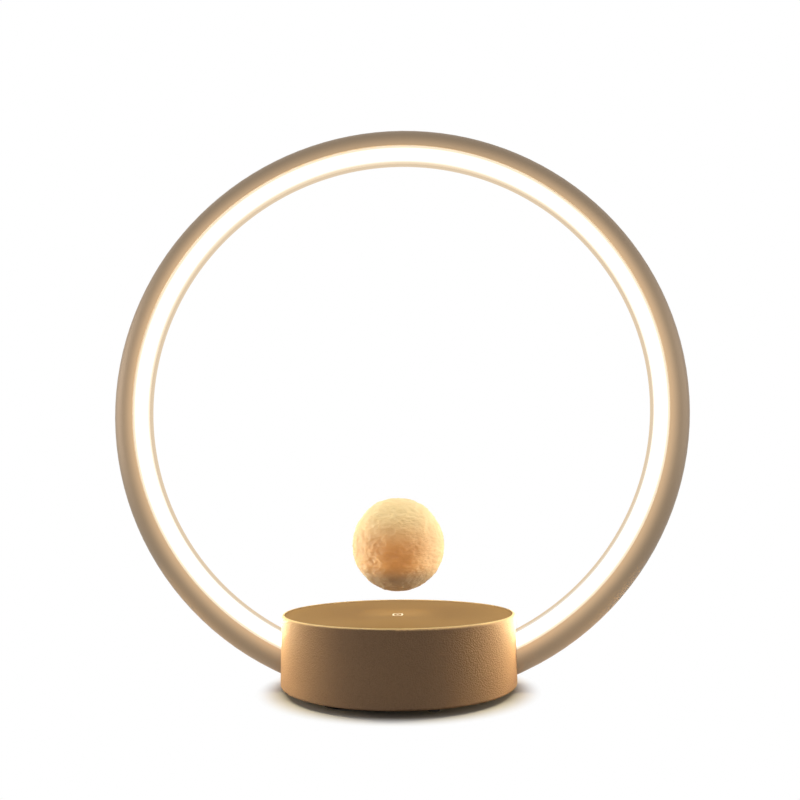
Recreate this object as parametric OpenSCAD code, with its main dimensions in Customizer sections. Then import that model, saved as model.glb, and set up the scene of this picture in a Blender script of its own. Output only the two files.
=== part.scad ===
// Levitating lamp: an upright light ring on a drum base, with a ball that hovers over the base.
// Millimetres, +Z up, origin at the middle of the underside on the table, -Y is the front.

/* [Ring] */
// Outer diameter of the light ring
ring_od = 298; // [260:2:340]
// Diameter of the ring's round tube
tube_d = 19; // [17:0.2:21]
// Wall of the metal half of the tube
frame_wall = 1.5; // [1:0.1:2]
// Wall of the milky half of the tube
diffuser_wall = 2.6; // [2.2:0.1:3.2]
// Reach of the milky half to each side of the inward direction, in degrees
lip_angle = 74; // [60:1:80]
// Drop from the base's top to where the tube's centre line meets the wall
entry_drop = 19; // [18:0.1:22]
// Number of light chips round the ring
led_count = 90; // [40:2:110]
// Width of the light strip
strip_w = 8; // [5:0.5:9]
// Length of the plug in each end of the tube, past the base's wall
plug_len = 9; // [8:0.5:14]

/* [Base] */
// Diameter of the base
base_d = 114; // [112:1:130]
// Height of the base's drum, without the feet
base_h = 32.5; // [32:0.5:45]
// Side wall of the drum
base_wall = 2.5; // [2:0.1:3.5]
// Radius of the drum's lower edge
corner_r = 1; // [0.5:0.5:6]
// Width of the rim round the top panel
rim_w = 1.2; // [1:0.1:2]
// Radius of the rim's outer edge
rim_round = 0.9; // [0.4:0.1:1]
// Thickness of the top panel
panel_t = 2.2; // [1.6:0.1:2.5]
// Depth of the top panel below the rim
panel_recess = 0.3; // [0.1:0.1:1]
// Thickness of the bottom cover
cover_t = 2; // [1.6:0.1:3]
// Diameter of a foot pad
foot_d = 15; // [10:0.5:16]
// Height of the feet below the drum
foot_h = 3; // [2.5:0.1:6]

/* [Touch key] */
// Width of the touch mark
mark_w = 5; // [4:0.2:8]
// Length of the touch mark
mark_l = 9; // [7:0.5:14]
// Distance of the touch mark in front of the middle
mark_ahead = 8; // [4:0.5:12]

/* [Ball] */
// Diameter of the hovering ball
ball_d = 46; // [44:0.5:56]
// Wall of the ball
ball_wall = 1.6; // [1.2:0.1:2]
// Height of the ball over the top panel
float_gap = 10.7; // [6:0.1:16]
// Diameter of the flat under the ball
ball_flat_d = 10.4; // [6:0.2:14]
// Number of craters on the ball
crater_count = 18; // [0:1:30]
// Depth of a crater
crater_depth = 0.4; // [0.1:0.05:0.6]
// Diameter of the float magnet
float_magnet_d = 24; // [18:0.5:25]
// Thickness of the float magnet
float_magnet_t = 6; // [4:0.5:8]

/* [Levitation unit] */
// Diameter of a coil's flanges
coil_d = 19; // [16:0.5:19.5]
// Diameter of a coil's core
core_d = 5.8; // [4:0.2:7]
// Height of the ring magnet
magnet_h = 10; // [8:0.5:10]
// Radial width of the ring magnet
magnet_w = 10; // [6:0.5:10]
// Thickness of the circuit boards
board_t = 1.6; // [1:0.1:1.6]

/* [Power] */
// Bore of the power inlet
inlet_d = 6.3; // [6:0.1:6.6]
// Diameter of the inlet's centre pin
inlet_pin_d = 2.1; // [1.6:0.1:2.5]
// Width of the power board
power_w = 40; // [38:1:44]
// Length of the power board's wide part
power_l = 44; // [42:1:46]

/* [Hidden] */
$fn = 96;
ring_fn = 240;

// Clearances: a glued or screwed seat, a moving pair, and a hole round a screw
seat_gap = 0.1;
float_clear = 0.3;
screw_gap = 0.1;
// Extra length that carries a cut past a face
past = 1;

// Heights of the base, from the table up
base_r = base_d / 2;
inner_r = base_r - base_wall;
base_top = foot_h + base_h;
cover_top = foot_h + cover_t;
panel_top = base_top - panel_recess;
panel_bottom = panel_top - panel_t;
ledge_t = 2;
ledge_w = 2.5;
lip_h = 4;
lip_flat = 1.5;
cover_gap = 0.2;
opening_r = base_r - corner_r - lip_flat;
cover_r = opening_r - cover_gap;

// Ring: the tube's centre line meets the base's wall at entry_z
tube_r = tube_d / 2;
ring_r = (ring_od - tube_d) / 2;
entry_z = base_top - entry_drop;
ring_z = entry_z + sqrt(ring_r * ring_r - base_r * base_r);
entry_half = asin(base_r / ring_r);
tube_tuck = 5;
end_half = asin((base_r - tube_tuck) / (ring_od / 2));
lip_gap = 0.12;
tongue_t = 1;
tongue_turn = 14;
tongue_r = tube_r - frame_wall - seat_gap;
plug_r = min(tongue_r - tongue_t, tube_r - diffuser_wall) - seat_gap;
plug_half = entry_half + arc_deg(plug_len);
light_seat = 4.5;
light_seat_t = 1.5;
strip_t = 0.6;
strip_tape = 0.25;
strip_start = 0.6;
strip_half = plug_half + arc_deg(strip_start);
led_l = 3.5;
led_w = 2.8;
led_t = 0.8;
led_glue = 0.02;
led_margin = 6;

// Nipple that joins each ring end to the base
nipple_d = 8;
nipple_bore = 5.2;
nipple_raise = 1.4;
nipple_z = entry_z + nipple_raise;
nipple_reach = 6.3;
nut_pad_t = 2.2;
nut_seat = inner_r - nut_pad_t;
nut_seat_w = 18;
nut_t = 4;
nut_flats = 13;
nut_corners = nut_flats / cos(30);
washer_t = 1;
washer_d = 15;
nipple_tail = 1.5;
nut_air = 0.5;

// Levitation unit, hung under the panel on four pillars
magnet_air = 0.4;
magnet_top = panel_bottom - magnet_air;
lev_top = magnet_top - magnet_h;
lev_bottom = lev_top - board_t;
coil_gap = 4;
coil_r = (coil_d + coil_gap) / sqrt(2);
coil_drop = 0.4;
coil_h = magnet_h - coil_drop;
flange_t = 0.8;
winding_inset = 1;
bobbin_wall = 1;
magnet_gap = 1.5;
magnet_inner = coil_r + coil_d / 2 + magnet_gap;
magnet_outer = magnet_inner + magnet_w;
pillar_d = 6;
pillar_r = magnet_outer + pillar_d / 2 + magnet_gap;
board_edge = 0.8;
lev_r = pillar_r + pillar_d / 2 + board_edge;
first_pillar = 35;
sensor_w = 4;
sensor_t = 1.5;
sensor_h = 3;
sensor_step = 3.8;
chip_w = 6;
chip_l = 5;
chip_t = 1.6;

// Cover posts, feet and screws, each set of four a quarter turn apart
post_d = 7;
post_inset = 4.5;
post_r = cover_r - post_inset;
post_h = 12;
rib_t = 2;
first_post = 20;
foot_inset = 4.8;
foot_r = cover_r - foot_d / 2 - foot_inset;
first_foot = 55;
foot_pocket = 0.8;
foot_chamfer = 1;
m3_d = 3;
m3_head_d = 5.5;
m3_head_h = 1.8;
m3_reach = 7;
small_screw_d = 2.4;
small_head_d = 4.4;
small_head_h = 1.6;

// Power board on low bosses, with a tongue to the inlet at the back
low_boss_h = 2.4;
low_boss_d = 5;
power_bottom = cover_top + low_boss_h;
power_top = power_bottom + board_t;
power_front = -20;
tongue_w = 14;
screw_inset = 3;
inlet_w = 9;
inlet_l = 14;
inlet_h = 10.8;
inlet_axis_h = 6.3;
inlet_air = 0.5;
inlet_axis = power_top + inlet_axis_h;
wall_gap = 0.2;
inlet_face = sqrt(inner_r * inner_r - inlet_w * inlet_w / 4) - wall_gap;
inlet_overhang = 1;
inlet_nose_d = 9;
inlet_nose_gap = 0.3;
inlet_nose_setback = 1;
inlet_nose_end = base_r - inlet_nose_setback;
inlet_end_wall = 3;
inlet_pin_root = 2;
inlet_pin_setback = 1.5;
inlet_back = inlet_face - inlet_l + inlet_end_wall;
capacitor_d = 8;
inductor_w = 9;
inductor_h = 5;
part_row = 8;
chip_gap = 1;
chip_r = sqrt(2) * (part_row + capacitor_d / 2 + chip_gap) + (chip_w + chip_l) / 2;
header_w = 20;
header_t = 2.5;
header_inset = 2;
lead_d = 1.4;
lead_step = 1.2;
connector_l = 6;
connector_w = 7;
strip_inner = ring_r + light_seat - strip_tape - strip_t;
lead_drop = ring_z - nipple_z + lead_d / 2;
lead_short = 0.2;
lead_end = sqrt(strip_inner * strip_inner - lead_drop * lead_drop) - lead_short;

// Touch key
mark_line = 0.7;
mark_depth = 0.4;
mark_dot = 1.4;
electrode_d = 14;
electrode_t = 0.3;
touch_lead_d = 1;

// Ball: heights are from its centre
ball_r = ball_d / 2;
flat_drop = sqrt(ball_r * ball_r - ball_flat_d * ball_flat_d / 4);
ball_z = panel_top + float_gap + flat_drop;
ball_inner = ball_r - ball_wall;
pocket_r = float_magnet_d / 2 + float_clear;
pocket_floor = -sqrt(ball_inner * ball_inner - pocket_r * pocket_r);
magnet_low = pocket_floor + float_clear;
magnet_high = magnet_low + float_magnet_t;
pocket_h = 4.5;
split = pocket_floor + pocket_h;
split_r = sqrt(ball_inner * ball_inner - split * split);
retainer_lip = 3;
retainer_t = 1.4;
retainer_gap = 0.3;
retainer_r = split_r - retainer_gap;
retainer_bite = 2.8;
retainer_screw_d = 1.6;
retainer_screw_head_d = 2.6;
retainer_screw_head_h = 1;
retainer_screw_r = (pocket_r + retainer_r) / 2;
golden_turn = 137.508;
golden_part = 0.618;
crater_low = -0.2;
crater_high = 0.95;
crater_min_r = 2;
crater_max_r = 4.6;

// Turn in degrees of a length along the tube's centre line
function arc_deg(length) = length / ring_r * 180 / PI;

// Fraction that spreads crater sizes evenly
function spread(i) = i * golden_part - floor(i * golden_part);

// Copies of the children a quarter turn apart, at a radius
module quarter(radius, first) {
    for (k = [0:3])
        rotate([0, 0, first + 90 * k])
            translate([radius, 0, 0])
                children();
}

// The children on the right side and turned round to the left side
module both_sides() {
    for (turn = [0, 180])
        rotate([0, 0, turn])
            children();
}

// The ring's upright plane: +X stays, +Y becomes up, centred on the ring
module ring_plane() {
    translate([0, 0, ring_z])
        rotate([90, 0, 0])
            children();
}

// Sweep of a tube section round the ring, open at the bottom by half degrees on each side
module ring_sweep(half) {
    ring_plane()
        rotate([0, 0, half - 90])
            rotate_extrude(angle = 360 - 2 * half, $fn = ring_fn)
                translate([ring_r, 0])
                    children();
}

// Sector of the tube section that faces the ring's middle
module inward(angle) {
    reach = 2 * tube_d;
    polygon([
        [0, 0], [-reach * cos(angle), reach * sin(angle)], [-reach, reach * sin(angle)],
        [-reach, -reach * sin(angle)], [-reach * cos(angle), -reach * sin(angle)]
    ]);
}

// Flat ring in the tube section
module band(outer, inner) {
    difference() {
        circle(outer);
        circle(inner);
    }
}

// Room that the base takes out of the tube's ends
module base_room() {
    translate([0, 0, -ring_od / 2])
        cylinder(h = ring_od, r = base_r + seat_gap);
}

// Bar along +X from one distance to another, at the nipples' height
module side_bar(from, to, diameter) {
    translate([from, 0, nipple_z])
        rotate([0, 90, 0])
            cylinder(h = to - from, d = diameter);
}

// Pan-head screw with its head's seat at z = 0, its shank down and a hexagon socket
module screw(shank_d, reach, head_d, head_h) {
    difference() {
        union() {
            cylinder(h = head_h, d = head_d);
            translate([0, 0, -reach])
                cylinder(h = reach, d = shank_d);
        }
        translate([0, 0, head_h / 2])
            cylinder(h = head_h, d = head_d / 2, $fn = 6);
    }
}

// Outline of the drum, rounded below and at the rim
module drum_section() {
    translate([0, foot_h])
        square([base_r - corner_r, base_h]);
    translate([0, foot_h + corner_r])
        square([base_r, base_h - corner_r - rim_round]);
    translate([base_r - corner_r, foot_h + corner_r])
        circle(corner_r);
    translate([0, base_top - rim_round - past])
        square([base_r - rim_round, rim_round + past]);
    translate([base_r - rim_round, base_top - rim_round])
        circle(rim_round);
}

// Hollow of the drum: cover opening, room for the boards, ledge and panel recess
module drum_hollow() {
    translate([0, foot_h - past])
        square([opening_r, lip_h + 2 * past]);
    translate([0, foot_h + lip_h])
        square([inner_r, panel_bottom - ledge_t - foot_h - lip_h]);
    translate([0, panel_bottom - ledge_t - past])
        square([inner_r - ledge_w, ledge_t + 2 * past]);
    translate([0, panel_bottom])
        square([base_r - rim_w, base_top - panel_bottom + past]);
}

// Post that takes a cover screw, with a rib to the wall
module cover_post() {
    translate([0, 0, cover_top])
        cylinder(h = post_h, d = post_d);
    translate([0, -rib_t / 2, cover_top])
        cube([inner_r - post_r + base_wall / 2, rib_t, post_h]);
}

// Flat seat inside the wall for a ring nut
module nut_pad() {
    intersection() {
        translate([nut_seat, -nut_seat_w / 2, nipple_z - nut_seat_w / 2])
            cube([base_r, nut_seat_w, nut_seat_w]);
        cylinder(h = base_top, r = inner_r + base_wall / 2);
    }
}

// Room round a ring nut and its washer, up to their seat
module nut_room() {
    side_bar(nut_seat - washer_t - nut_t - nut_air, nut_seat, max(washer_d, nut_corners) + 2 * nut_air);
}

module base_shell() {
    color("#8a7052")
    difference() {
        union() {
            difference() {
                rotate_extrude()
                    difference() {
                        drum_section();
                        drum_hollow();
                    }
                both_sides() nut_room();
                quarter(pillar_r, first_pillar)
                    translate([0, 0, cover_top])
                        cylinder(h = lev_bottom - cover_top, d = pillar_d + 2 * screw_gap);
            }
            quarter(post_r, first_post) cover_post();
            both_sides() nut_pad();
        }
        quarter(post_r, first_post)
            translate([0, 0, cover_top - past])
                cylinder(h = m3_reach + past, d = m3_d + 2 * screw_gap);
        both_sides() side_bar(nut_seat - past, base_r + past, nipple_d + 2 * seat_gap);
        translate([0, inner_r - ledge_w, inlet_axis])
            rotate([-90, 0, 0])
                cylinder(h = base_wall + 2 * ledge_w, d = inlet_nose_d + 2 * inlet_nose_gap);
    }
}

// Outline of the touch mark: a slim ring with round ends
module mark_outline(width, length) {
    square([width, length - width], center = true);
    for (side = [-1, 1])
        translate([0, side * (length - width) / 2])
            circle(d = width);
}

// The mark's strokes: the slim ring and a dot in its middle
module mark_strokes(extra) {
    difference() {
        mark_outline(mark_w + 2 * extra, mark_l + 2 * extra);
        mark_outline(mark_w - 2 * mark_line - 2 * extra, mark_l - 2 * mark_line - 2 * extra);
    }
    circle(d = mark_dot + 2 * extra);
}

module top_panel() {
    color("#a5824f")
    difference() {
        translate([0, 0, panel_bottom])
            cylinder(h = panel_t, r = base_r - rim_w - seat_gap);
        translate([0, -mark_ahead, panel_top - mark_depth])
            linear_extrude(mark_depth + past)
                mark_strokes(seat_gap / 2);
    }
}

module touch_mark() {
    color("#f5ead2")
    translate([0, -mark_ahead, panel_top - mark_depth])
        linear_extrude(mark_depth)
            mark_strokes(0);
}

// Places of the power board's four screws
module power_screw_places() {
    for (x = [-1, 1])
        for (y = [power_front + screw_inset, power_front + power_l - screw_inset])
            translate([x * (power_w / 2 - screw_inset), y, 0])
                children();
}

module bottom_cover() {
    color("#2b2724")
    difference() {
        union() {
            translate([0, 0, foot_h])
                cylinder(h = cover_t, r = cover_r);
            power_screw_places()
                translate([0, 0, foot_h])
                    cylinder(h = cover_t + low_boss_h, d = low_boss_d);
        }
        quarter(foot_r, first_foot)
            translate([0, 0, foot_h - past])
                cylinder(h = foot_pocket + past, d = foot_d + 2 * seat_gap);
        quarter(post_r, first_post)
            translate([0, 0, foot_h - past])
                cylinder(h = cover_t + 2 * past, d = m3_d + 2 * screw_gap);
        quarter(pillar_r, first_pillar)
            translate([0, 0, foot_h - past])
                cylinder(h = cover_t + 2 * past, d = m3_d + 2 * screw_gap);
        power_screw_places()
            translate([0, 0, cover_top])
                cylinder(h = low_boss_h + past, d = small_screw_d + 2 * screw_gap);
    }
}

// Screw from below, its head under the bottom cover
module under_screw() {
    translate([0, 0, foot_h])
        rotate([180, 0, 0])
            screw(m3_d, m3_reach, m3_head_d, m3_head_h);
}

module cover_screws() {
    color("#5c5c5e")
    quarter(post_r, first_post) under_screw();
}

module foot_pads() {
    color("#1d1b19")
    quarter(foot_r, first_foot) {
        cylinder(h = foot_chamfer, d1 = foot_d - foot_chamfer, d2 = foot_d);
        translate([0, 0, foot_chamfer])
            cylinder(h = foot_h - foot_chamfer + foot_pocket, d = foot_d);
    }
}

module board_pillars() {
    color("#b58d45")
    quarter(pillar_r, first_pillar)
        translate([0, 0, cover_top])
            difference() {
                cylinder(h = lev_bottom - cover_top, d = pillar_d);
                translate([0, 0, -past])
                    cylinder(h = lev_bottom - cover_top + 2 * past, d = m3_d + 2 * screw_gap);
            }
}

module pillar_screws() {
    color("#5c5c5e")
    quarter(pillar_r, first_pillar) under_screw();
}

module board_screws() {
    color("#5c5c5e")
    quarter(pillar_r, first_pillar)
        translate([0, 0, lev_top])
            screw(m3_d, m3_reach, m3_head_d, m3_head_h);
}

// Room round the inlet, in whatever reaches down to it
module inlet_room() {
    translate([-inlet_w / 2 - inlet_air, inlet_face - inlet_l - inlet_air, power_top])
        cube([inlet_w + 2 * inlet_air, base_r, inlet_h + inlet_air]);
}

module levitation_board() {
    color("#1f5a38")
    difference() {
        translate([0, 0, lev_bottom])
            cylinder(h = board_t, r = lev_r);
        both_sides() nut_room();
        inlet_room();
        quarter(pillar_r, first_pillar)
            translate([0, 0, lev_bottom - past])
                cylinder(h = board_t + 2 * past, d = m3_d + 2 * screw_gap);
    }
}

module ring_magnet() {
    color("#3a3a3d")
    translate([0, 0, lev_top])
        difference() {
            cylinder(h = magnet_h, r = magnet_outer);
            translate([0, 0, -past])
                cylinder(h = magnet_h + 2 * past, r = magnet_inner);
        }
}

// Places of the four coils
module coil_places() {
    quarter(coil_r, 45)
        translate([0, 0, lev_top])
            children();
}

module coil_bobbins() {
    bore = core_d + 2 * seat_gap;
    color("#e8e2d2")
    coil_places()
        difference() {
            union() {
                cylinder(h = flange_t, d = coil_d);
                cylinder(h = coil_h, d = bore + 2 * bobbin_wall);
                translate([0, 0, coil_h - flange_t])
                    cylinder(h = flange_t, d = coil_d);
            }
            translate([0, 0, -past])
                cylinder(h = coil_h + 2 * past, d = bore);
        }
}

module coil_windings() {
    inside = core_d + 2 * bobbin_wall + 4 * seat_gap;
    color("#b4622d")
    coil_places()
        translate([0, 0, flange_t])
            difference() {
                cylinder(h = coil_h - 2 * flange_t, d = coil_d - 2 * winding_inset);
                translate([0, 0, -past])
                    cylinder(h = coil_h + 2 * past, d = inside);
            }
}

module coil_cores() {
    color("#8d9094")
    coil_places()
        cylinder(h = coil_h, d = core_d);
}

module hall_sensors() {
    color("#18181a")
    for (place = [[0, 0], [sensor_step, -sensor_step], [-sensor_step, -sensor_step]])
        translate([place.x - sensor_w / 2, place.y + sensor_step / 2 - sensor_t / 2, lev_top])
            cube([sensor_w, sensor_t, sensor_h]);
}

module driver_chips() {
    color("#18181a")
    quarter(chip_r, 45)
        translate([-chip_w / 2, -chip_l / 2, lev_bottom - chip_t])
            cube([chip_w, chip_l, chip_t]);
}

module power_board() {
    color("#1f5a38")
    difference() {
        union() {
            translate([-power_w / 2, power_front, power_bottom])
                cube([power_w, power_l, board_t]);
            translate([-tongue_w / 2, power_front, power_bottom])
                cube([tongue_w, inlet_face - inlet_overhang - power_front, board_t]);
        }
        power_screw_places()
            translate([0, 0, power_bottom - past])
                cylinder(h = board_t + 2 * past, d = small_screw_d + 2 * screw_gap);
    }
}

module power_board_screws() {
    color("#8d9094")
    power_screw_places()
        translate([0, 0, power_top])
            screw(small_screw_d, board_t + low_boss_h - screw_gap, small_head_d, small_head_h);
}

// Capacitors, an inductor and the driver of the lights
module board_parts() {
    color("#2d3e66")
    translate([0, 0, power_top]) {
        for (x = [-part_row, part_row])
            translate([x, power_front + power_l - capacitor_d, 0])
                cylinder(h = capacitor_d, d = capacitor_d);
        translate([-part_row, power_front + part_row, 0])
            cube([inductor_w, inductor_w, inductor_h]);
        translate([part_row / 2, power_front + part_row, 0])
            cube([chip_w, chip_l, chip_t]);
    }
}

module board_header() {
    color("#222222")
    translate([-header_w / 2, power_front + header_inset, power_top])
        cube([header_w, header_t, lev_bottom - power_top]);
}

module power_inlet() {
    color("#161616")
    difference() {
        union() {
            translate([-inlet_w / 2, inlet_face - inlet_l, power_top])
                cube([inlet_w, inlet_l, inlet_h]);
            translate([0, inlet_face - past, inlet_axis])
                rotate([-90, 0, 0])
                    cylinder(h = inlet_nose_end - inlet_face + past, d = inlet_nose_d);
        }
        translate([0, inlet_back, inlet_axis])
            rotate([-90, 0, 0])
                cylinder(h = base_r, d = inlet_d);
        translate([0, inlet_back - inlet_pin_root, inlet_axis])
            rotate([-90, 0, 0])
                cylinder(h = base_r, d = inlet_pin_d + seat_gap);
    }
}

module inlet_pin() {
    color("#c9c5bb")
    translate([0, inlet_back - inlet_pin_root, inlet_axis])
        rotate([-90, 0, 0])
            cylinder(
                h = inlet_nose_end - inlet_pin_setback - inlet_back + inlet_pin_root,
                d = inlet_pin_d
            );
}

module led_connectors() {
    color("#ece7da")
    both_sides()
        translate([power_w / 2 - connector_l, -connector_w / 2, power_top])
            cube([connector_l, connector_w, nipple_z + 2 * lead_d - power_top]);
}

// Two leads to each end of the light strip, through the nipple and the plug
module led_leads() {
    color("#a82d23")
    both_sides()
        for (side = [-1, 1])
            translate([0, side * lead_step, 0])
                side_bar(power_w / 2, lead_end, lead_d);
}

module touch_electrode() {
    color("#b4622d")
    translate([0, -mark_ahead, panel_bottom - electrode_t])
        cylinder(h = electrode_t, d = electrode_d);
}

module touch_lead() {
    color("#a82d23")
    translate([0, -mark_ahead - electrode_d / 4, lev_top])
        cylinder(h = panel_bottom - electrode_t - lev_top, d = touch_lead_d);
}

module ring_frame() {
    color("#97836a")
    difference() {
        union() {
            ring_sweep(end_half)
                difference() {
                    band(tube_r, tube_r - frame_wall);
                    inward(lip_angle);
                }
            ring_sweep(plug_half)
                intersection() {
                    circle(tube_r - frame_wall / 2);
                    translate([light_seat, -tube_r])
                        square([light_seat_t, tube_d]);
                }
        }
        base_room();
    }
}

// Milky half: the lit face, and a tongue that snaps in behind the metal's lips
module ring_diffuser() {
    lip_turn = lip_gap / tube_r * 180 / PI;
    color("#fff4dd")
    difference() {
        ring_sweep(end_half) {
            intersection() {
                band(tube_r, tube_r - diffuser_wall);
                inward(lip_angle - lip_turn);
            }
            intersection() {
                band(tongue_r, tongue_r - tongue_t);
                inward(lip_angle + tongue_turn);
            }
        }
        base_room();
    }
}

module led_strip() {
    color("#f2efe6")
    ring_sweep(strip_half)
        translate([strip_inner - ring_r, -strip_w / 2])
            square([strip_t, strip_w]);
}

module led_chips() {
    first = strip_half + arc_deg(led_margin) - 90;
    last = 180 - first;
    color("#ffe08a")
    ring_plane()
        for (k = [0:led_count - 1])
            rotate([0, 0, first + (last - first) * k / (led_count - 1)])
                translate([strip_inner - led_glue - led_t, -led_l / 2, -led_w / 2])
                    cube([led_t, led_l, led_w]);
}

module ring_end_plugs() {
    color("#8d9094")
    both_sides()
        difference() {
            ring_plane()
                rotate([0, 0, end_half - 90])
                    rotate_extrude(angle = plug_half - end_half, $fn = ring_fn)
                        translate([ring_r, 0])
                            circle(plug_r);
            base_room();
            side_bar(base_r - base_wall, base_r + nipple_reach + seat_gap, nipple_d + 2 * seat_gap);
            side_bar(base_r, base_r + 3 * plug_len, nipple_bore);
        }
}

module ring_nipples() {
    color("#b58d45")
    both_sides()
        difference() {
            side_bar(nut_seat - washer_t - nut_t - nipple_tail, base_r + nipple_reach, nipple_d);
            side_bar(inner_r / 2, base_d, nipple_bore);
        }
}

module ring_washers() {
    color("#8d9094")
    both_sides()
        difference() {
            side_bar(nut_seat - washer_t, nut_seat, washer_d);
            side_bar(inner_r / 2, base_r, nipple_d + 2 * screw_gap);
        }
}

module ring_nuts() {
    inside = nut_seat - washer_t - nut_t;
    color("#8d9094")
    both_sides()
        difference() {
            translate([inside, 0, nipple_z])
                rotate([0, 90, 0])
                    cylinder(h = nut_t, d = nut_corners, $fn = 6);
            side_bar(inner_r / 2, base_r, nipple_d + 2 * screw_gap);
        }
}

// Shallow round hollows spread over the ball by the golden turn
module craters() {
    for (i = [0:1:crater_count - 1]) {
        rise = crater_low + (crater_high - crater_low) * (i + 0.5) / crater_count;
        width = crater_min_r + (crater_max_r - crater_min_r) * spread(i);
        depth = crater_depth + width * width / (2 * ball_r);
        dish = (width * width + depth * depth) / (2 * depth);
        rotate([0, 0, golden_turn * i])
            rotate([0, acos(rise), 0])
                translate([0, 0, ball_r - crater_depth + dish])
                    sphere(dish);
    }
}

module ball_shell() {
    color("#d9b27c")
    translate([0, 0, ball_z])
        difference() {
            sphere(ball_r);
            sphere(ball_inner);
            translate([-ball_r, -ball_r, -2 * ball_r + split])
                cube([2 * ball_r, 2 * ball_r, 2 * ball_r]);
            craters();
        }
}

module ball_cap() {
    color("#8a5d36")
    translate([0, 0, ball_z])
        difference() {
            intersection() {
                sphere(ball_r);
                translate([-ball_r, -ball_r, -flat_drop])
                    cube([2 * ball_r, 2 * ball_r, flat_drop + split]);
            }
            translate([0, 0, pocket_floor])
                cylinder(h = ball_r, r = pocket_r);
            retainer_places()
                translate([0, 0, split - retainer_bite - screw_gap])
                    cylinder(h = ball_r, d = retainer_screw_d + 2 * screw_gap);
        }
}

module float_magnet() {
    color("#a9abad")
    translate([0, 0, ball_z + magnet_low])
        cylinder(h = float_magnet_t, d = float_magnet_d);
}

// Places of the three screws that hold the retainer down
module retainer_places() {
    for (k = [0:2])
        rotate([0, 0, 120 * k])
            translate([retainer_screw_r, 0, 0])
                children();
}

module magnet_retainer() {
    lid = magnet_high + float_clear;
    color("#2b2724")
    translate([0, 0, ball_z])
        difference() {
            rotate_extrude() {
                translate([pocket_r, split])
                    square([retainer_r - pocket_r, lid + retainer_t - split]);
                translate([pocket_r - retainer_lip, lid])
                    square([retainer_r - pocket_r + retainer_lip, retainer_t]);
            }
            retainer_places()
                translate([0, 0, split - past])
                    cylinder(h = ball_r, d = retainer_screw_d + 2 * screw_gap);
        }
}

module retainer_screws() {
    top = magnet_high + float_clear + retainer_t;
    color("#8d9094")
    translate([0, 0, ball_z])
        retainer_places()
            translate([0, 0, top])
                screw(
                    retainer_screw_d, top - split + retainer_bite,
                    retainer_screw_head_d, retainer_screw_head_h
                );
}

base_shell();
top_panel();
touch_mark();
bottom_cover();
cover_screws();
foot_pads();
board_pillars();
pillar_screws();
board_screws();
levitation_board();
ring_magnet();
coil_bobbins();
coil_windings();
coil_cores();
hall_sensors();
driver_chips();
power_board();
power_board_screws();
board_parts();
board_header();
power_inlet();
inlet_pin();
led_connectors();
led_leads();
touch_electrode();
touch_lead();
ring_frame();
ring_diffuser();
led_strip();
led_chips();
ring_end_plugs();
ring_nipples();
ring_washers();
ring_nuts();
ball_shell();
ball_cap();
float_magnet();
magnet_retainer();
retainer_screws();
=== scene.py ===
# %% [markdown]
# # A levitating lamp
# The lamp is a lit ring that stands upright on a drum, with a small moon that hovers over the drum.
# The solids come from the CAD frame and already have their true sizes and places. This lesson gives
# them their finishes, and models again the two pieces whose looks need more than a plain solid: the
# milky light and the moon. Blender counts in metres, so a size in millimetres is written with MM.

# %% Load the frame
import math

import bmesh
import bpy
import numpy as np
from mathutils import Matrix, Vector, noise


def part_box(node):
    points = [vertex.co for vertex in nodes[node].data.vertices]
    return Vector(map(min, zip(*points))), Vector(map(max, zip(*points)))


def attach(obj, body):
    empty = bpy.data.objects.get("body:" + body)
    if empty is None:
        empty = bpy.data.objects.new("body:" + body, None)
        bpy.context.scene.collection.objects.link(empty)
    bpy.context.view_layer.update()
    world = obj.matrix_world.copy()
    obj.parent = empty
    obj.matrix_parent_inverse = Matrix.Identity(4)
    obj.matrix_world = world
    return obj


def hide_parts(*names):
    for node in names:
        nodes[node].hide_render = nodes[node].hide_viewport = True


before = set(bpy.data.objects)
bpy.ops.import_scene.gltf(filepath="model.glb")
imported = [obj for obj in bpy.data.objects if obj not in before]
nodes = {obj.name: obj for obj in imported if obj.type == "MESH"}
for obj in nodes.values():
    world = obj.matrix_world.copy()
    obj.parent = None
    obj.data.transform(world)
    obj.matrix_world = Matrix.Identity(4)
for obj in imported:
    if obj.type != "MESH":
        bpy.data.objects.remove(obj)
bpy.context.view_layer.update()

MM = 0.001

# %% [markdown]
# ## The camera
# A camera is a place, three turns and a focal length. They could be found by eye, but here they
# were fitted to the edges of the ring, the drum and the ball, so the picture lines up. The camera
# is low, close, and looks up a little, which is why the top of the drum is a slim ellipse. Its
# matrix is built from three directions: right, up and back.

# %% Camera
IMAGE_SIDE = 800
FOCAL_PIXELS = 705.85
SENSOR = 36.0
NEAREST_SEEN = 10 * MM
CAMERA_PLACE = Vector((18.98, -362.03, 79.38)) * MM
CAMERA_YAW = math.radians(-2.77)
CAMERA_PITCH = math.radians(9.8)
CAMERA_ROLL = math.radians(-0.42)

scene = bpy.context.scene
scene.view_settings.view_transform = "Standard"

ahead = Vector((
    math.sin(CAMERA_YAW) * math.cos(CAMERA_PITCH),
    math.cos(CAMERA_YAW) * math.cos(CAMERA_PITCH),
    math.sin(CAMERA_PITCH),
))
level_right = Vector((math.cos(CAMERA_YAW), -math.sin(CAMERA_YAW), 0))
level_up = level_right.cross(ahead)
right = level_right * math.cos(CAMERA_ROLL) + level_up * math.sin(CAMERA_ROLL)
up = level_up * math.cos(CAMERA_ROLL) - level_right * math.sin(CAMERA_ROLL)

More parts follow.
